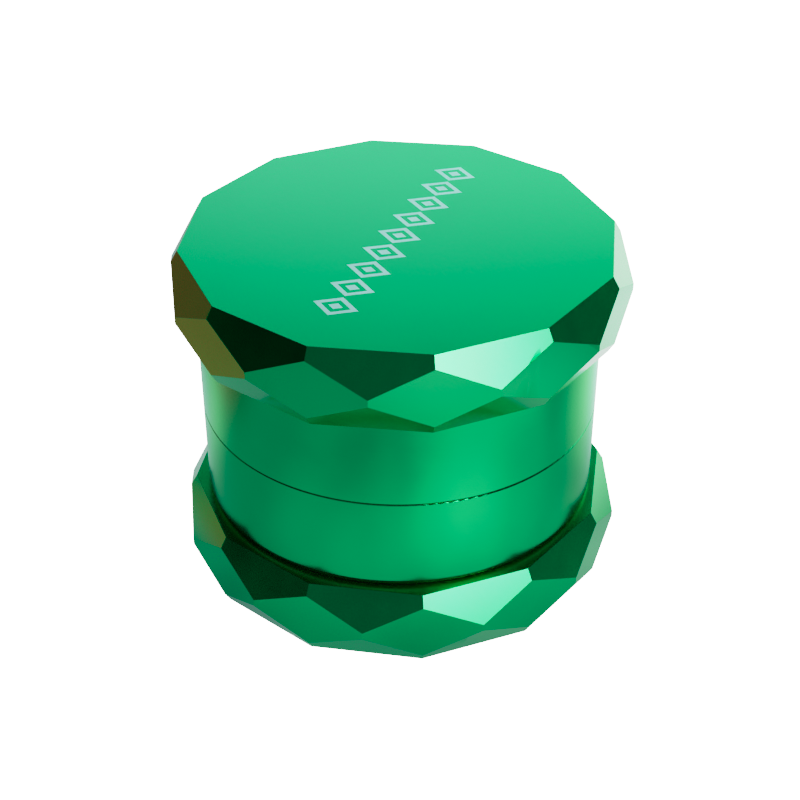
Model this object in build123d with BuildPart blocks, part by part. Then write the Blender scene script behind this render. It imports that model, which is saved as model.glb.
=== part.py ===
"""A hand-turned herb and spice grinder: four screwed and stacked aluminium pieces.

From the table up: a diamond-cut base that catches the finest powder, a storage chamber with a
sieve in its floor, a grinding chamber with diamond teeth and drain holes, and a diamond-cut lid
whose own teeth pass between those of the chamber. Everything is turned about the Z axis.
"""

import os
from math import cos, pi, radians

from build123d import *

# ---- driving dimensions, in millimetres and degrees -------------------------------------------

# heights of the four pieces as they show from outside
base_height = 11.3
storage_ring_height = 13.8
grinding_ring_height = 12.6
lid_height = 11.3

# the diamond-cut outline that the base and the lid share
across_corners = 63.0
facet_count = 12
crown_step = 2.0
crown_angle = 30.0
foot_step = 1.9
foot_angle = 29.5
lid_turned = 2.1

# the plain turned rings between them
ring_overhang = 3.8
ring_edge_break = 0.06
ring_mouth_round = 0.2
ring_foot_round = 1.0

# clearances
seam_gap = 0.1
running_clearance = 0.3
glue_line = 0.05
thread_clearance = 0.15

# screw threads, two-start, the same on both screwed joints
nose_shoulder = 2.9
nose_length = 5.0
nose_chamfer = 0.4
thread_depth = 0.7
thread_pitch = 1.5
thread_starts = 2
thread_root_width = 0.9
thread_crest_width = 0.35
thread_bury = 0.1
thread_run_in = 0.9
thread_room = 1.1

# base
base_floor = 2.0
dish_step = 1.0
dish_fillet = 2.0

# scraper, lying in the dish
scraper_side = 24.0
scraper_corner = 4.0
scraper_thickness = 1.0
scraper_hole = 4.0
scraper_edge_break = 0.3
scraper_offset = 4.0

# storage chamber and its sieve
nose_wall = 1.8
storage_shelf = 1.2
storage_shelf_fillet = 1.6
sieve_ledge_width = 1.2
sieve_ledge_thickness = 2.0
sieve_hoop_height = 1.2
sieve_hoop_wall = 0.35
sieve_hoop_lip = 1.1
sieve_thickness = 0.25
snap_ring_width = 1.1
snap_ring_thickness = 0.8
snap_ring_groove = 0.4
snap_ring_gap = 9.0

# grinding chamber
grinding_floor_drop = 4.4
grinding_floor_thickness = 2.6
under_floor_wall = 2.1
neck_shoulder = 2.6
neck_wall = 2.0
neck_edge_break = 0.35

# lid, and the glide ring between it and the neck
lid_plate = 3.0
lid_ledge_step = 1.0
glide_ring_thickness = 1.4
glide_ring_inset = 0.1

# magnets at the middle, each in its own post
magnet_diameter = 6.0
magnet_thickness = 2.0
magnet_edge_break = 0.2
post_wall = 1.55
post_height = 5.8
post_gap = 0.4

# teeth, in rings that stand by turns on the lid and on the chamber, and the drain holes
tooth_length = 4.0
tooth_width = 2.5
tooth_tip_gap = 0.8
tooth_ring_gap = 0.9
tooth_wall_gap = 1.05
tooth_spacing = 8.7
drain_hole_diameter = 3.6
drain_hole_spacing = 7.3

# ---- levels, measured up from the table --------------------------------------------------------

base_top = base_height
storage_bottom = base_top + seam_gap
storage_nose_end = storage_bottom - nose_length
storage_shelf_level = storage_bottom + storage_shelf
storage_top = base_top + storage_ring_height
grinding_bottom = storage_top + seam_gap
grinding_nose_end = grinding_bottom - nose_length
lid_bottom = storage_top + grinding_ring_height
grinding_shoulder = lid_bottom - running_clearance
grinding_floor_level = grinding_shoulder - grinding_floor_drop
grinding_floor_underside = grinding_floor_level - grinding_floor_thickness
lid_top = lid_bottom + lid_height
lid_ceiling = lid_top - lid_plate
lid_ledge = lid_ceiling - lid_ledge_step
glide_ring_level = lid_ledge - seam_gap - glide_ring_thickness
neck_top = glide_ring_level - seam_gap
chamber_post_end = grinding_floor_level + post_height
lid_post_end = chamber_post_end + post_gap

# ---- radii that follow from the outline --------------------------------------------------------

half_facet = 180 / facet_count
corner_radius = across_corners / 2
girdle_apothem = corner_radius * cos(radians(half_facet))
ring_radius = corner_radius - ring_overhang

male_root = ring_radius - nose_shoulder
male_crest = male_root + thread_depth
female_crest = male_root + thread_clearance
female_root = male_crest + thread_clearance
thread_lead = thread_pitch * thread_starts

storage_bore = male_root - nose_wall
under_floor_bore = male_root - under_floor_wall
neck_radius = ring_radius - neck_shoulder
grinding_bore = neck_radius - neck_wall
magnet_pocket = magnet_diameter / 2 + glue_line
magnet_pocket_depth = magnet_thickness + glue_line
post_radius = magnet_pocket + post_wall

# the tooth rings, from the wall inwards for as long as they clear the posts
tooth_ring_pitch = tooth_width + tooth_ring_gap
outer_tooth_ring = grinding_bore - tooth_wall_gap - tooth_width / 2
inner_tooth_ring = post_radius + tooth_ring_gap + tooth_width / 2
tooth_ring_count = 1 + int((outer_tooth_ring - inner_tooth_ring) / tooth_ring_pitch)
tooth_rings = [outer_tooth_ring - tooth_ring_pitch * step for step in range(tooth_ring_count)]
lid_tooth_rings = tooth_rings[0::2]
chamber_tooth_rings = tooth_rings[1::2]


# ---- shapes that more than one piece uses ------------------------------------------------------

def diamond_cut(bottom, top, turned):
    """The faceted block: twelve upright diamonds between twelve crown and twelve lower facets."""
    height = top - bottom
    with BuildSketch(Plane.XY.offset(bottom)) as girdle:
        RegularPolygon(
            girdle_apothem, facet_count, major_radius=False, rotation=turned + half_facet
        )
    extrude(girdle.sketch, amount=height)
    with BuildSketch(Plane.XY.offset(top)) as rim:
        RegularPolygon(corner_radius - crown_step, facet_count, rotation=turned)
    extrude(rim.sketch, amount=-height, taper=-crown_angle, mode=Mode.INTERSECT)
    with BuildSketch(Plane.XY.offset(bottom)) as foot:
        RegularPolygon(corner_radius - foot_step, facet_count, rotation=turned)
    extrude(foot.sketch, amount=height, taper=-foot_angle, mode=Mode.INTERSECT)


def bore(radius, low, high, mode=Mode.SUBTRACT):
    """A round hole, or with Mode.ADD a round boss, between two levels."""
    with BuildSketch(Plane.XY.offset(low)) as circle:
        Circle(radius)
    extrude(circle.sketch, amount=high - low, mode=mode)


def thread(low, high, root, crest, root_width, crest_width):
    """Helical ribs that stand on a round wall: outwards from a nose, inwards from a bore."""
    with BuildPart() as rib:
        with BuildLine() as path:
            Helix(thread_lead, high - low, male_root, center=(0, 0, low))
        with BuildSketch(Plane.XZ):
            with BuildLine():
                Polyline(
                    (root, low - root_width / 2),
                    (crest, low - crest_width / 2),
                    (crest, low + crest_width / 2),
                    (root, low + root_width / 2),
                    close=True,
                )
            make_face()
        sweep(path=path.line, is_frenet=True)
    with PolarLocations(0, thread_starts):
        add(rib.part)


def male_thread(nose_end):
    """The thread outside a screwed nose."""
    thread(
        nose_end + thread_run_in,
        nose_end + nose_length - thread_run_in,
        male_root - thread_bury,
        male_crest,
        thread_root_width,
        thread_crest_width,
    )


def female_thread(nose_end):
    """The thread inside the bore that takes that nose, half a pitch away from it all round."""
    thread(
        nose_end + thread_run_in - thread_pitch / 2,
        nose_end + nose_length - seam_gap - thread_run_in,
        female_root + thread_bury,
        female_crest,
        thread_pitch - thread_crest_width - 2 * thread_clearance,
        thread_pitch - thread_root_width - 2 * thread_clearance,
    )


def around(ring, spacing):
    """Places evenly spread along a ring, as near as can be to that spacing."""
    return PolarLocations(ring, round(2 * pi * ring / spacing))


def teeth(rings, low, high):
    """Rings of upright diamond-shaped teeth, each with its long way along the ring."""
    for ring in rings:
        with BuildSketch(Plane.XY.offset(low)) as outline:
            with around(ring, tooth_spacing):
                Polygon(
                    (tooth_width / 2, 0),
                    (0, tooth_length / 2),
                    (-tooth_width / 2, 0),
                    (0, -tooth_length / 2),
                )
        extrude(outline.sketch, amount=high - low)


# ---- base: diamond cut outside, a dished catcher inside ----------------------------------------

with BuildPart() as base:
    diamond_cut(0, base_top, 0)
    bore(male_root - dish_step, base_floor, base_top)
    fillet(edges().filter_by(GeomType.CIRCLE).group_by(Axis.Z)[0], dish_fillet)
    bore(female_root, storage_nose_end - thread_room, base_top)
    female_thread(storage_nose_end)
base.part.label = "base"

# ---- scraper: a small three-cornered pick that lies loose in the dish --------------------------

scraper_level = base_floor + seam_gap

with BuildPart() as scraper:
    with BuildSketch(Plane.XY.offset(scraper_level)):
        with Locations((scraper_offset, 0)):
            Triangle(a=scraper_side, b=scraper_side, c=scraper_side, align=(Align.CENTER, Align.CENTER))
        fillet(vertices(), scraper_corner)
        with Locations((scraper_offset, 0)):
            Circle(scraper_hole / 2, mode=Mode.SUBTRACT)
    extrude(amount=scraper_thickness)
    chamfer(scraper.faces().sort_by(Axis.Z)[-1].outer_wire().edges(), scraper_edge_break)
scraper.part.label = "scraper"

# ---- storage chamber: a ring with a screwed nose below and a threaded mouth above --------------

sieve_ledge_level = storage_nose_end + sieve_ledge_thickness
hoop_bottom = sieve_ledge_level + glue_line
hoop_top = hoop_bottom + sieve_hoop_height
snap_ring_level = hoop_top + seam_gap
snap_ring_outer = storage_bore + snap_ring_groove

with BuildPart() as storage_chamber:
    bore(ring_radius, storage_bottom, storage_top, Mode.ADD)
    fillet(edges().filter_by(GeomType.CIRCLE).sort_by(Axis.Z)[0], ring_foot_round)
    fillet(edges().filter_by(GeomType.CIRCLE).sort_by(Axis.Z)[-1], ring_mouth_round)
    bore(male_root, storage_nose_end, storage_bottom, Mode.ADD)
    chamfer(edges().filter_by(GeomType.CIRCLE).sort_by(Axis.Z)[0], nose_chamfer)
    bore(female_root, storage_shelf_level, storage_top)
    fillet(
        edges().filter_by(GeomType.CIRCLE).filter_by_position(
            Axis.Z, storage_shelf_level, storage_shelf_level
        ),
        storage_shelf_fillet,
    )
    bore(storage_bore, sieve_ledge_level, storage_shelf_level)
    bore(storage_bore - sieve_ledge_width, storage_nose_end, sieve_ledge_level)
    bore(snap_ring_outer, snap_ring_level, snap_ring_level + snap_ring_thickness)
    male_thread(storage_nose_end)
    female_thread(grinding_nose_end)
storage_chamber.part.label = "storage_chamber"

# ---- sieve: woven cloth crimped in a hoop, held down by a sprung ring --------------------------

hoop_outer = storage_bore - glue_line
sieve_level = hoop_bottom + (sieve_hoop_height - sieve_thickness) / 2

with BuildPart() as sieve_hoop:
    bore(hoop_outer, hoop_bottom, hoop_top, Mode.ADD)
    bore(hoop_outer - sieve_hoop_lip, hoop_bottom, hoop_top)
    bore(hoop_outer - sieve_hoop_wall, hoop_bottom + sieve_hoop_wall, hoop_top - sieve_hoop_wall)
sieve_hoop.part.label = "sieve_hoop"

with BuildPart() as sieve_mesh:
    bore(hoop_outer - sieve_hoop_wall, sieve_level, sieve_level + sieve_thickness, Mode.ADD)
sieve_mesh.part.label = "sieve_mesh"

with BuildPart() as sieve_snap_ring:
    with BuildSketch(Plane.XY.offset(snap_ring_level)):
        Circle(snap_ring_outer)
        Circle(snap_ring_outer - snap_ring_width, mode=Mode.SUBTRACT)
        with Locations((0, snap_ring_outer)):
            Rectangle(snap_ring_gap, snap_ring_outer, mode=Mode.SUBTRACT)
    extrude(amount=snap_ring_thickness)
sieve_snap_ring.part.label = "sieve_snap_ring"

# ---- grinding chamber: ring, neck, drilled floor, teeth and middle post in one piece -----------

with BuildPart() as grinding_chamber:
    bore(ring_radius, grinding_bottom, grinding_shoulder, Mode.ADD)
    fillet(edges().filter_by(GeomType.CIRCLE), ring_edge_break)
    bore(neck_radius, grinding_shoulder, neck_top, Mode.ADD)
    chamfer(edges().filter_by(GeomType.CIRCLE).sort_by(Axis.Z)[-1], neck_edge_break)
    bore(male_root, grinding_nose_end, grinding_bottom, Mode.ADD)
    chamfer(edges().filter_by(GeomType.CIRCLE).sort_by(Axis.Z)[0], nose_chamfer)
    bore(grinding_bore, grinding_floor_level, neck_top)
    bore(under_floor_bore, grinding_nose_end, grinding_floor_underside)
    bore(post_radius, grinding_floor_level, chamber_post_end, Mode.ADD)
    bore(magnet_pocket, chamber_post_end - magnet_pocket_depth, chamber_post_end)
    teeth(chamber_tooth_rings, grinding_floor_level, lid_ceiling - tooth_tip_gap)
    for hole_ring in lid_tooth_rings:
        with BuildSketch(Plane.XY.offset(grinding_floor_underside)):
            with around(hole_ring, drain_hole_spacing):
                Circle(drain_hole_diameter / 2)
        extrude(amount=grinding_floor_thickness, mode=Mode.SUBTRACT)
    male_thread(grinding_nose_end)
grinding_chamber.part.label = "grinding_chamber"

# ---- magnets: two discs that pull the lid down on the chamber ----------------------------------

with BuildPart() as chamber_magnet:
    bore(magnet_diameter / 2, chamber_post_end - magnet_thickness, chamber_post_end, Mode.ADD)
    chamfer(edges().filter_by(GeomType.CIRCLE), magnet_edge_break)
chamber_magnet.part.label = "chamber_magnet"

with BuildPart() as lid_magnet:
    bore(magnet_diameter / 2, lid_post_end, lid_post_end + magnet_thickness, Mode.ADD)
    chamfer(edges().filter_by(GeomType.CIRCLE), magnet_edge_break)
lid_magnet.part.label = "lid_magnet"

# ---- glide ring: a plastic washer that the lid turns on ----------------------------------------

with BuildPart() as glide_ring:
    bore(neck_radius, glide_ring_level, glide_ring_level + glide_ring_thickness, Mode.ADD)
    bore(
        grinding_bore + glide_ring_inset,
        glide_ring_level,
        glide_ring_level + glide_ring_thickness,
    )
glide_ring.part.label = "glide_ring"

# ---- lid: diamond cut outside, teeth and a magnet post inside ----------------------------------

with BuildPart() as lid:
    diamond_cut(lid_bottom, lid_top, lid_turned)
    bore(neck_radius + running_clearance, lid_bottom, lid_ledge)
    bore(grinding_bore, lid_ledge, lid_ceiling)
    bore(post_radius, lid_post_end, lid_ceiling, Mode.ADD)
    bore(magnet_pocket, lid_post_end, lid_post_end + magnet_pocket_depth)
    teeth(lid_tooth_rings, grinding_floor_level + tooth_tip_gap, lid_ceiling)
lid.part.label = "lid"

# ---- the files, one for each piece -------------------------------------------------------------

os.makedirs("parts", exist_ok=True)
for piece in (
    base,
    scraper,
    storage_chamber,
    sieve_hoop,
    sieve_mesh,
    sieve_snap_ring,
    grinding_chamber,
    chamber_magnet,
    lid_magnet,
    glide_ring,
    lid,
):
    export_step(piece.part, f"parts/{piece.part.label}.step")
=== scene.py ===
from math import cos, pi, radians, sin, sqrt

import bpy
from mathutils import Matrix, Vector


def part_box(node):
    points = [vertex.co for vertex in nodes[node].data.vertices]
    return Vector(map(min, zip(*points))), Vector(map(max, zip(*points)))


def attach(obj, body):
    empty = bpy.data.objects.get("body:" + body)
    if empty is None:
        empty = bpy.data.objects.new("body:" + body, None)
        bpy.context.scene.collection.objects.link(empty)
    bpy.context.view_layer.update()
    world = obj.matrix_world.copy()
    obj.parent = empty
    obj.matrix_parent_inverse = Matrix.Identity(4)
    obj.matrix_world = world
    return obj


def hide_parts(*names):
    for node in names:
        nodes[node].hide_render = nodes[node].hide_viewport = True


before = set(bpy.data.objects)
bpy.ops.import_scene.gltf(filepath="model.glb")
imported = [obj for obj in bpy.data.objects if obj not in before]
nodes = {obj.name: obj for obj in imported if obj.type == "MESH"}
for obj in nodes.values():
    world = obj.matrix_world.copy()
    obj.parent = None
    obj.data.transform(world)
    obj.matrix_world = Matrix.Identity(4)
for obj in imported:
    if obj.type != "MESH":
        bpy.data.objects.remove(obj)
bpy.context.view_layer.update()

bpy.ops.object.select_all(action="DESELECT")


# ---- camera ------------------------------------------------------------------------------------
# A short telephoto view from the front, looking down on the lid at about thirty-five degrees.

camera_turn = radians(-96.0)
camera_rise = radians(34.66)
camera_distance = 0.2281
camera_aim = Vector((0.0001, 0.0, 0.0223))
towards_camera = Vector((
    cos(camera_rise) * cos(camera_turn),
    cos(camera_rise) * sin(camera_turn),
    sin(camera_rise),
))
bpy.ops.object.camera_add(location=camera_aim + camera_distance * towards_camera)
camera = bpy.context.object
camera.rotation_euler = towards_camera.to_track_quat("Z", "Y").to_euler()
camera.data.lens = 71.86
camera.data.sensor_width = 36
camera.data.clip_start = 0.005
bpy.context.scene.camera = camera
camera.select_set(False)


# ---- film --------------------------------------------------------------------------------------
# Straight up to middle tones, then a soft shoulder, so bright reflections roll off gently. The
# black point of red is raised, so every green in the picture is deeper than its material.

view = bpy.context.scene.view_settings
view.view_transform = "Standard"
view.look = "None"
view.use_curve_mapping = True
film = view.curve_mapping
film_white = 6.0
burnt_out_light = 1.2 * film_white
film.white_level = (film_white, film_white, film_white)
film.black_level = (0.08, 0.0, 0.0)
straight_to = 0.45
film.curves[3].points.new(straight_to / film_white, straight_to)
for light, level in ((1.0, 0.71), (2.0, 0.85), (3.6, 0.94)):
    film.curves[3].points.new(light / film_white, level)
for point in film.curves[3].points[0:2]:
    point.handle_type = "VECTOR"
film.update()


# ---- room --------------------------------------------------------------------------------------
# There are no lamps. The room itself glows, in patches placed for what the polished metal mirrors,
# each given by its direction: degrees to the right of the camera, and degrees up. To the camera the
# room is plain white instead.

def add_glow(tree, measured, full_at, gone_at, strength, tint, glows_below):
    """A pool of light that fades smoothly where the measured value goes from full_at to gone_at."""
    fade = tree.nodes.new("ShaderNodeMapRange")
    fade.interpolation_type = "SMOOTHSTEP"
    fade.inputs["From Min"].default_value = gone_at
    fade.inputs["From Max"].default_value = full_at
    fade.inputs["To Max"].default_value = strength
    tree.links.new(measured, fade.inputs["Value"])
    glow = tree.nodes.new("ShaderNodeVectorMath")
    glow.operation = "MULTIPLY_ADD"
    glow.inputs[1].default_value = tint
    tree.links.new(fade.outputs["Result"], glow.inputs[0])
    if glows_below:
        tree.links.new(glows_below, glow.inputs[2])
    return glow.outputs[0]


white = (1.0, 1.0, 1.0)
brown = (1.0, 0.14, 0.06)

world = bpy.data.worlds.new("room")
bpy.context.scene.world = world
world.use_nodes = True
heading = world.node_tree.nodes.new("ShaderNodeTexCoord")
room_light = None
for right, up, core, edge, strength, tint in (
    # the dark room all round
    (0, 90, 0, 179, 0.01, white),
    # soft box at the front right
    (38, 25.3, 5, 14, 13.5, white),
    # pale wall behind the camera
    (-16, 19, 10, 42, 0.11, white),
    # the room beyond the soft box
    (98, 5, 10, 40, 0.08, white),
    # warm furniture on the left
    (-120, 0, 12, 42, 1.0, brown),
    # lit sweep behind, up over the lid
    (180, 4, 18, 35, 1.9, (0.75, 1.0, 1.15)),
    # the brightest part of the sweep, behind on the right
    (147, 0, 14, 38, 2.2, white),
):
    lean = world.node_tree.nodes.new("ShaderNodeVectorMath")
    lean.operation = "DOT_PRODUCT"
    turn = camera_turn + radians(right)
    lean.inputs[1].default_value = (
        cos(radians(up)) * cos(turn),
        cos(radians(up)) * sin(turn),
        sin(radians(up)),
    )
    world.node_tree.links.new(heading.outputs["Generated"], lean.inputs[0])
    room_light = add_glow(world.node_tree, lean.outputs["Value"], cos(radians(core)),
                          cos(radians(edge)), strength, tint, room_light)
camera_ray = world.node_tree.nodes.new("ShaderNodeLightPath")
burnt_out = world.node_tree.nodes.new("ShaderNodeMix")
burnt_out.data_type = "RGBA"
burnt_out.inputs["B"].default_value = (burnt_out_light, burnt_out_light, burnt_out_light, 1)
world.node_tree.links.new(camera_ray.outputs["Is Camera Ray"], burnt_out.inputs["Factor"])
world.node_tree.links.new(room_light, burnt_out.inputs["A"])
world.node_tree.links.new(
    burnt_out.outputs["Result"], world.node_tree.nodes["Background"].inputs["Color"]
)


# ---- table -------------------------------------------------------------------------------------
# A black plane that lights itself, so the object throws no shadow on it. To the camera it is plain
# white. The metal mirrors the pools below instead: light, shade and tint placed for the object at
# rest. Each is in millimetres from the object's axis, towards the camera and right.

bpy.ops.mesh.primitive_plane_add(size=3.0, location=(0, 0, -0.00005))
table = bpy.context.object
table.name = "table"
# The table's glow is painted light and painted shade: pools of light, pools of painted shade,
# painted contact shade close in front and a brown tint on the left, all seen in the metal's
# reflections.
table_painted_glow = bpy.data.materials.new("self_lit_table")
table_painted_glow.use_nodes = True
table_nodes = table_painted_glow.node_tree
table_nodes.nodes["Principled BSDF"].inputs["Base Color"].default_value = (0, 0, 0, 1)
table_nodes.nodes["Principled BSDF"].inputs["Roughness"].default_value = 1
table_nodes.nodes["Principled BSDF"].inputs["Specular IOR Level"].default_value = 0
table_nodes.nodes["Principled BSDF"].inputs["Emission Strength"].default_value = 1
spot = table_nodes.nodes.new("ShaderNodeTexCoord")
table_light = None
for forward, right, core, edge, strength, tint in (
    # the table all round
    (0, 0, 2900, 3000, 0.42, white),
    # light in front and on the right
    (66, 48, 20, 70, 0.65, white),
    (54, 16, 4, 19, 0.35, white),
    (50, -10, 5, 21, 0.25, white),
    (38, -30, 6, 24, 0.2, white),
    (102, 22, 5, 24, 0.8, white),
    (47, 31, 3, 17, 0.35, white),
    (76, -54, 5, 30, 0.12, white),
    (40, 86, 5, 28, 0.4, white),
    # shade in front and on the right
    (78, 14, 8, 24, -0.25, white),
    (38, 58, 3, 20, -0.2, white),
    # light behind on the right, far off, then nearer, then close beside
    (-160, 150, 40, 170, 2.0, white),
    (-44, 56, 10, 48, 1.15, white),
    (-8, 62, 3, 26, 0.3, white),
    (4, 34, 3, 16, 0.2, white),
    # light behind on the left
    (-26, -50, 5, 28, 0.45, white),
    (-14, -62, 3, 20, 0.2, white),
    # brown shade on the left, near and far
    (-4, -92, 14, 36, -0.36, (-2.6, 0.6, 0.9)),
    (0, -1500, 1250, 1420, -0.4, (-1.8, 0.85, 0.95)),
    # shade far off on the right
    (0, 1500, 1250, 1370, -0.34, white),
    # soft shade close in front
    (30, 14, 8, 24, -0.1, white),
    (22, -24, 4, 14, -0.15, white),
):
    away = table_nodes.nodes.new("ShaderNodeVectorMath")
    away.operation = "DISTANCE"
    away.inputs[1].default_value = (
        0.001 * (forward * cos(camera_turn) - right * sin(camera_turn)),
        0.001 * (forward * sin(camera_turn) + right * cos(camera_turn)),
        0,
    )
    table_nodes.links.new(spot.outputs["Object"], away.inputs[0])
    table_light = add_glow(table_nodes, away.outputs["Value"], 0.001 * core, 0.001 * edge,
                           strength, tint, table_light)
table_ray = table_nodes.nodes.new("ShaderNodeLightPath")
table_burnt_out = table_nodes.nodes.new("ShaderNodeMix")
table_burnt_out.data_type = "RGBA"
table_burnt_out.inputs["B"].default_value = burnt_out.inputs["B"].default_value
table_nodes.links.new(table_ray.outputs["Is Camera Ray"], table_burnt_out.inputs["Factor"])
table_nodes.links.new(table_light, table_burnt_out.inputs["A"])
table_nodes.links.new(
    table_burnt_out.outputs["Result"], table_nodes.nodes["Principled BSDF"].inputs["Emission Color"]
)
table.data.materials.append(table_painted_glow)
table.select_set(False)


# ---- base --------------------------------------------------------------------------------------
# Turned aluminium with diamond facets milled round it, then dyed green in the anodising bath. The
# dye leaves a clear glassy film over the metal. The corners of the facets are just broken.

def float_socket(group, name, value):
    socket = group.interface.new_socket(name, in_out="INPUT", socket_type="NodeSocketFloat")
    socket.default_value = value


def blasted_grain():
    """Fine peened dimples, as a height, and a slower mottle, both from 0 to 1."""
    group = bpy.data.node_groups.new("blasted_grain", "ShaderNodeTree")
    group.interface.new_socket("Coordinates", in_out="INPUT", socket_type="NodeSocketVector")
    float_socket(group, "Grains per metre", 9000)
    group.interface.new_socket("Height", in_out="OUTPUT", socket_type="NodeSocketFloat")
    group.interface.new_socket("Mottle", in_out="OUTPUT", socket_type="NodeSocketFloat")
    given = group.nodes.new("NodeGroupInput")
    result = group.nodes.new("NodeGroupOutput")
    dimples = group.nodes.new("ShaderNodeTexNoise")
    dimples.inputs["Detail"].default_value = 2
    cloud_scale = group.nodes.new("ShaderNodeMath")
    cloud_scale.operation = "MULTIPLY"
    cloud_scale.inputs[1].default_value = 0.03
    clouds = group.nodes.new("ShaderNodeTexNoise")
    clouds.inputs["Detail"].default_value = 3
    group.links.new(given.outputs["Coordinates"], dimples.inputs["Vector"])
    group.links.new(given.outputs["Grains per metre"], dimples.inputs["Scale"])
    group.links.new(given.outputs["Coordinates"], clouds.inputs["Vector"])
    group.links.new(given.outputs["Grains per metre"], cloud_scale.inputs[0])
    group.links.new(cloud_scale.outputs[0], clouds.inputs["Scale"])
    group.links.new(dimples.outputs["Fac"], result.inputs["Height"])
    group.links.new(clouds.outputs["Fac"], result.inputs["Mottle"])
    return group


def turning_marks():
    """Lathe grooves: rings up a round wall, and a spiral of rings across a flat face."""
    group = bpy.data.node_groups.new("turning_marks", "ShaderNodeTree")
    group.interface.new_socket("Coordinates", in_out="INPUT", socket_type="NodeSocketVector")
    group.interface.new_socket("Facing", in_out="INPUT", socket_type="NodeSocketVector")
    float_socket(group, "Groove pitch", 0.0002)
    group.interface.new_socket("Height", in_out="OUTPUT", socket_type="NodeSocketFloat")
    given = group.nodes.new("NodeGroupInput")
    result = group.nodes.new("NodeGroupOutput")
    split = group.nodes.new("ShaderNodeSeparateXYZ")
    group.links.new(given.outputs["Coordinates"], split.inputs[0])
    flat = group.nodes.new("ShaderNodeCombineXYZ")
    group.links.new(split.outputs["X"], flat.inputs["X"])
    group.links.new(split.outputs["Y"], flat.inputs["Y"])
    out_from_axis = group.nodes.new("ShaderNodeVectorMath")
    out_from_axis.operation = "LENGTH"
    group.links.new(flat.outputs[0], out_from_axis.inputs[0])
    facing = group.nodes.new("ShaderNodeSeparateXYZ")
    group.links.new(given.outputs["Facing"], facing.inputs[0])
    steep = group.nodes.new("ShaderNodeMath")
    steep.operation = "ABSOLUTE"
    group.links.new(facing.outputs["Z"], steep.inputs[0])
    is_flat = group.nodes.new("ShaderNodeMath")
    is_flat.operation = "GREATER_THAN"
    is_flat.inputs[1].default_value = 0.7
    group.links.new(steep.outputs[0], is_flat.inputs[0])
    along = group.nodes.new("ShaderNodeMix")
    group.links.new(is_flat.outputs[0], along.inputs["Factor"])
    group.links.new(split.outputs["Z"], along.inputs["A"])
    group.links.new(out_from_axis.outputs["Value"], along.inputs["B"])
    in_grooves = group.nodes.new("ShaderNodeMath")
    in_grooves.operation = "DIVIDE"
    group.links.new(along.outputs["Result"], in_grooves.inputs[0])
    group.links.new(given.outputs["Groove pitch"], in_grooves.inputs[1])
    ridge = group.nodes.new("ShaderNodeMath")
    ridge.operation = "PINGPONG"
    ridge.inputs[1].default_value = 0.5
    group.links.new(in_grooves.outputs[0], ridge.inputs[0])
    uneven = group.nodes.new("ShaderNodeTexNoise")
    uneven.noise_dimensions = "1D"
    uneven.inputs["Scale"].default_value = 0.37
    uneven.inputs["Detail"].default_value = 2
    group.links.new(in_grooves.outputs[0], uneven.inputs["W"])
    height = group.nodes.new("ShaderNodeMath")
    height.operation = "MULTIPLY_ADD"
    group.links.new(ridge.outputs[0], height.inputs[0])
    group.links.new(uneven.outputs["Fac"], height.inputs[1])
    group.links.new(uneven.outputs["Fac"], height.inputs[2])
    # no grooves round the broken edges, where the surface is neither upright (0) nor flat (1)
    from_slant = group.nodes.new("ShaderNodeMath")
    from_slant.operation = "SUBTRACT"
    from_slant.inputs[1].default_value = 0.5
    group.links.new(steep.outputs[0], from_slant.inputs[0])
    off_slant = group.nodes.new("ShaderNodeMath")
    off_slant.operation = "ABSOLUTE"
    group.links.new(from_slant.outputs[0], off_slant.inputs[0])
    square_on = group.nodes.new("ShaderNodeMapRange")
    square_on.inputs["From Min"].default_value = 0.36
    square_on.inputs["From Max"].default_value = 0.48
    group.links.new(off_slant.outputs[0], square_on.inputs["Value"])
    cut = group.nodes.new("ShaderNodeMath")
    cut.operation = "MULTIPLY"
    group.links.new(height.outputs[0], cut.inputs[0])
    group.links.new(square_on.outputs["Result"], cut.inputs[1])
    group.links.new(cut.outputs[0], result.inputs["Height"])
    return group


grain_group = blasted_grain()
turning_group = turning_marks()


def finish_detail(finish, grain, grain_deep, pitch, groove_deep):
    """Adds grain and turning marks to a material, and returns the grain's group node."""
    tree = finish.node_tree
    shader = tree.nodes["Principled BSDF"]
    where = tree.nodes.new("ShaderNodeTexCoord")
    specks = tree.nodes.new("ShaderNodeGroup")
    specks.node_tree = grain_group
    specks.inputs["Grains per metre"].default_value = grain
    tree.links.new(where.outputs["Object"], specks.inputs["Coordinates"])
    pits = tree.nodes.new("ShaderNodeBump")
    pits.inputs["Distance"].default_value = grain_deep
    tree.links.new(specks.outputs["Height"], pits.inputs["Height"])
    tree.links.new(pits.outputs["Normal"], shader.inputs["Normal"])
    if groove_deep:
        turned = tree.nodes.new("ShaderNodeGroup")
        turned.node_tree = turning_group
        turned.inputs["Groove pitch"].default_value = pitch
        tree.links.new(where.outputs["Object"], turned.inputs["Coordinates"])
        tree.links.new(where.outputs["Normal"], turned.inputs["Facing"])
        grooves = tree.nodes.new("ShaderNodeBump")
        grooves.inputs["Distance"].default_value = groove_deep
        tree.links.new(turned.outputs["Height"], grooves.inputs["Height"])
        tree.links.new(pits.outputs["Normal"], grooves.inputs["Normal"])
        tree.links.new(grooves.outputs["Normal"], shader.inputs["Normal"])
    return specks


def between(tree, mask, low, high, socket):
    """Feeds a socket with a number that the mask takes from low to high."""
    spread = tree.nodes.new("ShaderNodeMapRange")
    spread.inputs["To Min"].default_value = low
    spread.inputs["To Max"].default_value = high
    tree.links.new(mask, spread.inputs["Value"])
    tree.links.new(spread.outputs["Result"], socket)


def blend_colours(tree, mask, low, high):
    """A colour that the mask takes from low to high."""
    colour = tree.nodes.new("ShaderNodeMix")
    colour.data_type = "RGBA"
    colour.inputs["A"].default_value = (*low, 1)
    colour.inputs["B"].default_value = (*high, 1)
    tree.links.new(mask, colour.inputs["Factor"])
    return colour


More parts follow.
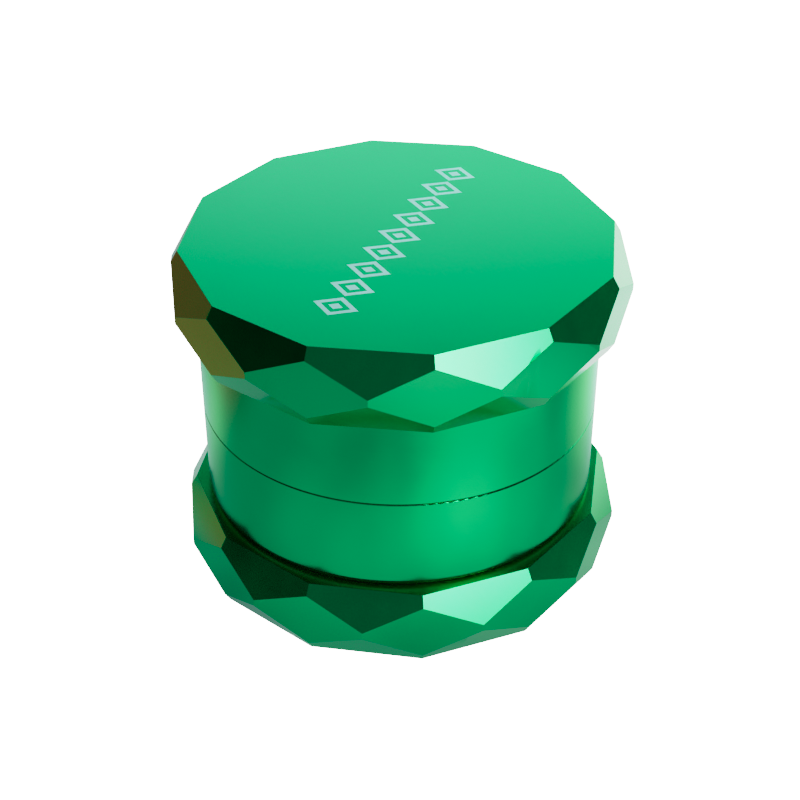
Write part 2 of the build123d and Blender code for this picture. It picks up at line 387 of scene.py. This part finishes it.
def anodised(name, roughness, film_roughness, grain_deep, groove_deep=0.0, pitch=0.0002):
    """Dyed aluminium: a satin metal under a clear film, which is glossier on a milled facet."""
    finish = bpy.data.materials.new(name)
    finish.use_nodes = True
    tree = finish.node_tree
    metal = tree.nodes["Principled BSDF"]
    metal.inputs["Metallic"].default_value = 1
    metal.inputs["Specular Tint"].default_value = (0.0, 0.8, 0.3, 1)
    metal.inputs["Coat Weight"].default_value = 1.0
    metal.inputs["Coat Roughness"].default_value = film_roughness
    metal.inputs["Coat IOR"].default_value = 1.5
    specks = finish_detail(finish, 7000, grain_deep, pitch, groove_deep)
    between(tree, specks.outputs["Mottle"], roughness - 0.05, roughness + 0.05,
            metal.inputs["Roughness"])
    dye = blend_colours(tree, specks.outputs["Mottle"],
                        (0.015, 0.405, 0.098), (0.025, 0.455, 0.114))
    tree.links.new(dye.outputs["Result"], metal.inputs["Base Color"])
    return finish


def break_edges(piece, width, sharper_than):
    """Small round edges that catch the light, as a deburred part has."""
    weld = piece.modifiers.new("weld", "WELD")
    weld.merge_threshold = 0.000001
    edges = piece.modifiers.new("broken_edges", "BEVEL")
    edges.width = width
    edges.segments = 3
    edges.limit_method = "ANGLE"
    edges.angle_limit = radians(sharper_than)
    edges.harden_normals = True


def dress(name, finish):
    nodes[name].data.materials.clear()
    nodes[name].data.materials.append(finish)


milled_green = anodised("anodised_green_milled", 0.3, 0.08, grain_deep=0.0000025)
facet_edge = 0.00012
shallowest_edge = 12
dress("base", milled_green)
break_edges(nodes["base"], facet_edge, shallowest_edge)


# ---- scraper -----------------------------------------------------------------------------------
# A three-cornered pick, moulded in black plastic, that lies loose in the base. Its face has the
# mould's fine spark texture, duller in some patches than in others.

pick_plastic = bpy.data.materials.new("black_plastic")
pick_plastic.use_nodes = True
pick_specks = finish_detail(pick_plastic, 3500, 0.000012, 0.0002, 0.0)
between(pick_plastic.node_tree, pick_specks.outputs["Mottle"], 0.38, 0.56,
        pick_plastic.node_tree.nodes["Principled BSDF"].inputs["Roughness"])
pick_black = blend_colours(pick_plastic.node_tree, pick_specks.outputs["Mottle"],
                           (0.02, 0.02, 0.022), (0.045, 0.045, 0.048))
pick_plastic.node_tree.links.new(
    pick_black.outputs["Result"],
    pick_plastic.node_tree.nodes["Principled BSDF"].inputs["Base Color"],
)
dress("scraper", pick_plastic)
break_edges(nodes["scraper"], 0.00015, sharper_than=40)


# ---- storage chamber ---------------------------------------------------------------------------
# A plain turned ring with a screwed nose under it and a thread inside its mouth. The lathe leaves
# fine rings round the wall, which the anodising keeps.

turned_green = anodised("anodised_green_turned", 0.24, 0.25, grain_deep=0.0000012,
                        groove_deep=0.0000022, pitch=0.00022)
dress("storage_chamber", turned_green)


# ---- sieve -------------------------------------------------------------------------------------
# Plain-woven stainless cloth, crimped in a hoop of stainless strip and held down in the storage
# chamber by a sprung ring of the same steel. The wires cross over and under each other.

def bare_metal(name, dark, bright, roughness, grain_deep, groove_deep):
    """Steel or nickel, clouded from a dark to a bright tone and from shiny to dull."""
    finish = bpy.data.materials.new(name)
    finish.use_nodes = True
    metal = finish.node_tree.nodes["Principled BSDF"]
    metal.inputs["Metallic"].default_value = 1
    specks = finish_detail(finish, 5000, grain_deep, 0.00016, groove_deep)
    between(finish.node_tree, specks.outputs["Mottle"], roughness - 0.07, roughness + 0.07,
            metal.inputs["Roughness"])
    tone = blend_colours(finish.node_tree, specks.outputs["Mottle"], dark, bright)
    finish.node_tree.links.new(tone.outputs["Result"], metal.inputs["Base Color"])
    return finish


steel_strip = bare_metal("steel_strip", (0.5, 0.5, 0.48), (0.68, 0.67, 0.65), 0.32,
                         grain_deep=0.000002, groove_deep=0.000004)
steel_wire = bare_metal("steel_wire", (0.52, 0.52, 0.5), (0.7, 0.7, 0.68), 0.28,
                        grain_deep=0.000001, groove_deep=0.0)
dress("sieve_hoop", steel_strip)
dress("sieve_snap_ring", steel_strip)

cloth_low, cloth_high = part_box("sieve_mesh")
cloth_radius = (cloth_high.x - cloth_low.x) / 2
cloth_level = (cloth_high.z + cloth_low.z) / 2
wire_pitch = 0.0007
wire_radius = 0.00007
wire_rise = 0.00007
wires_each_way = int(cloth_radius / wire_pitch)
for lie, across in (("warp", 0), ("weft", 1)):
    run = bpy.data.curves.new(lie, "CURVE")
    run.dimensions = "3D"
    run.bevel_depth = wire_radius
    run.bevel_resolution = 0
    run.use_fill_caps = True
    for wire in range(-wires_each_way, wires_each_way):
        beside = (wire + 0.5) * wire_pitch
        crossings = int(sqrt(cloth_radius ** 2 - beside ** 2) / wire_pitch - 0.5)
        strand = run.splines.new("POLY")
        strand.points.add(4 * crossings)
        for place, point in enumerate(strand.points):
            step = (place - 2 * crossings) / 2
            along = step * wire_pitch
            over = cos(pi * (step - 0.5 + wire + across))
            x, y = (beside, along) if across else (along, beside)
            point.co = (x, y, cloth_level + wire_rise * over, 1)
    weave = bpy.data.objects.new("sieve_" + lie, run)
    bpy.context.collection.objects.link(weave)
    weave.select_set(True)
    bpy.context.view_layer.objects.active = weave
bpy.ops.object.convert(target="MESH")
bpy.ops.object.join()
cloth = bpy.context.object
cloth.name = "sieve_cloth"
bpy.ops.object.shade_smooth()
cloth.data.materials.clear()
cloth.data.materials.append(steel_wire)
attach(cloth, "sieve")
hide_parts("sieve_mesh")
cloth.select_set(False)


# ---- grinding chamber --------------------------------------------------------------------------
# Turned from one bar with its floor drilled, its diamond teeth milled from the solid and a screwed
# nose under it, then dyed in the same bath. The finer feed of its lathe pass shows on the wall.

fine_turned_green = anodised("anodised_green_fine_turned", 0.2, 0.25, grain_deep=0.0000012,
                             groove_deep=0.0000025, pitch=0.00017)
dress("grinding_chamber", fine_turned_green)


# ---- magnets -----------------------------------------------------------------------------------
# Two nickel-plated discs, one glued in the chamber's post and one in the lid's, that hold the lid
# down. The plate is bright, with a faint orange peel.

nickel = bare_metal("nickel_plate", (0.66, 0.65, 0.6), (0.76, 0.75, 0.7), 0.14,
                    grain_deep=0.000002, groove_deep=0.0)
for name in ("chamber_magnet", "lid_magnet"):
    dress(name, nickel)
    break_edges(nodes[name], 0.00008, sharper_than=40)


# ---- glide ring --------------------------------------------------------------------------------
# A washer moulded in white nylon. It lies between the chamber's neck and the lid, so that the lid
# turns without rubbing metal on metal.

nylon = bpy.data.materials.new("white_nylon")
nylon.use_nodes = True
nylon_shader = nylon.node_tree.nodes["Principled BSDF"]
nylon_shader.inputs["Subsurface Weight"].default_value = 0.15
nylon_shader.inputs["Subsurface Radius"].default_value = (0.001, 0.001, 0.0008)
nylon_specks = finish_detail(nylon, 2500, 0.000006, 0.0004, 0.000005)
between(nylon.node_tree, nylon_specks.outputs["Mottle"], 0.4, 0.55,
        nylon_shader.inputs["Roughness"])
nylon_white = blend_colours(nylon.node_tree, nylon_specks.outputs["Mottle"],
                            (0.74, 0.74, 0.7), (0.86, 0.86, 0.83))
nylon.node_tree.links.new(nylon_white.outputs["Result"], nylon_shader.inputs["Base Color"])
dress("glide_ring", nylon)


# ---- lid ---------------------------------------------------------------------------------------
# Turned and milled like the base, with teeth and a post inside. A row of lozenges is marked across
# its flat top by laser, which bleaches the dye to a matt silver.

marked_green = anodised("anodised_green_marked", 0.3, 0.08, grain_deep=0.0000025)
tree = marked_green.node_tree
row_length = 0.0445
row_turn = radians(60.5)
lozenges_in_row = 9
lozenge_pitch = row_length / lozenges_in_row
lozenge_half_width = 0.00235
lozenge_half_height = 0.0032
outline_at = 0.81
outline_half_thick = 0.17
middle_up_to = 0.32
mark_depth = 0.00002
duller_where_marked = 0.08
bleached_silver = (0.9, 0.88, 0.86, 1)
lid_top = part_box("lid")[1].z


def sum_of(operation, first, second=None, number=None):
    """A math node in the lid's material, with a second input that is a socket or a number."""
    node = tree.nodes.new("ShaderNodeMath")
    node.operation = operation
    tree.links.new(first, node.inputs[0])
    if second is not None:
        tree.links.new(second, node.inputs[1])
    if number is not None:
        node.inputs[1].default_value = number
    return node.outputs[0]


top_place = tree.nodes.new("ShaderNodeTexCoord")
along_row = tree.nodes.new("ShaderNodeMapping")
along_row.vector_type = "TEXTURE"
along_row.inputs["Rotation"].default_value = (0, 0, row_turn)
tree.links.new(top_place.outputs["Object"], along_row.inputs["Vector"])
row_xyz = tree.nodes.new("ShaderNodeSeparateXYZ")
tree.links.new(along_row.outputs["Vector"], row_xyz.inputs[0])
in_row = sum_of("DIVIDE", row_xyz.outputs["X"], number=lozenge_pitch)
in_row = sum_of("ADD", in_row, number=0.5)
beside_middle = sum_of("SUBTRACT", sum_of("FRACT", in_row), number=0.5)
beside_middle = sum_of("ABSOLUTE", beside_middle)
sideways = sum_of("MULTIPLY", beside_middle, number=lozenge_pitch / lozenge_half_width)
upward = sum_of("ABSOLUTE", sum_of("DIVIDE", row_xyz.outputs["Y"], number=lozenge_half_height))
out_of_lozenge = sum_of("ADD", sideways, second=upward)
outline = sum_of("COMPARE", out_of_lozenge, number=outline_at)
outline.node.inputs[2].default_value = outline_half_thick
middle = sum_of("LESS_THAN", out_of_lozenge, number=middle_up_to)
on_row = sum_of("LESS_THAN", sum_of("ABSOLUTE", row_xyz.outputs["X"]), number=row_length / 2)
on_top = sum_of("GREATER_THAN", row_xyz.outputs["Z"], number=lid_top - mark_depth)
mark = sum_of("MULTIPLY", sum_of("MAXIMUM", outline, second=middle), second=on_row)
mark = sum_of("MULTIPLY", mark, second=on_top)

metal = tree.nodes["Principled BSDF"]
dyed = metal.inputs["Base Color"].links[0].from_socket
bleached = tree.nodes.new("ShaderNodeMix")
bleached.data_type = "RGBA"
bleached.inputs["B"].default_value = bleached_silver
tree.links.new(mark, bleached.inputs["Factor"])
tree.links.new(dyed, bleached.inputs["A"])
tree.links.new(bleached.outputs["Result"], metal.inputs["Base Color"])
between(tree, mark, 1.0, 0.0, metal.inputs["Coat Weight"])
satin = metal.inputs["Roughness"].links[0].from_socket
rough_mark = sum_of("MULTIPLY_ADD", mark, number=duller_where_marked)
tree.links.new(satin, rough_mark.node.inputs[2])
tree.links.new(rough_mark, metal.inputs["Roughness"])
dress("lid", marked_green)
break_edges(nodes["lid"], facet_edge, shallowest_edge)
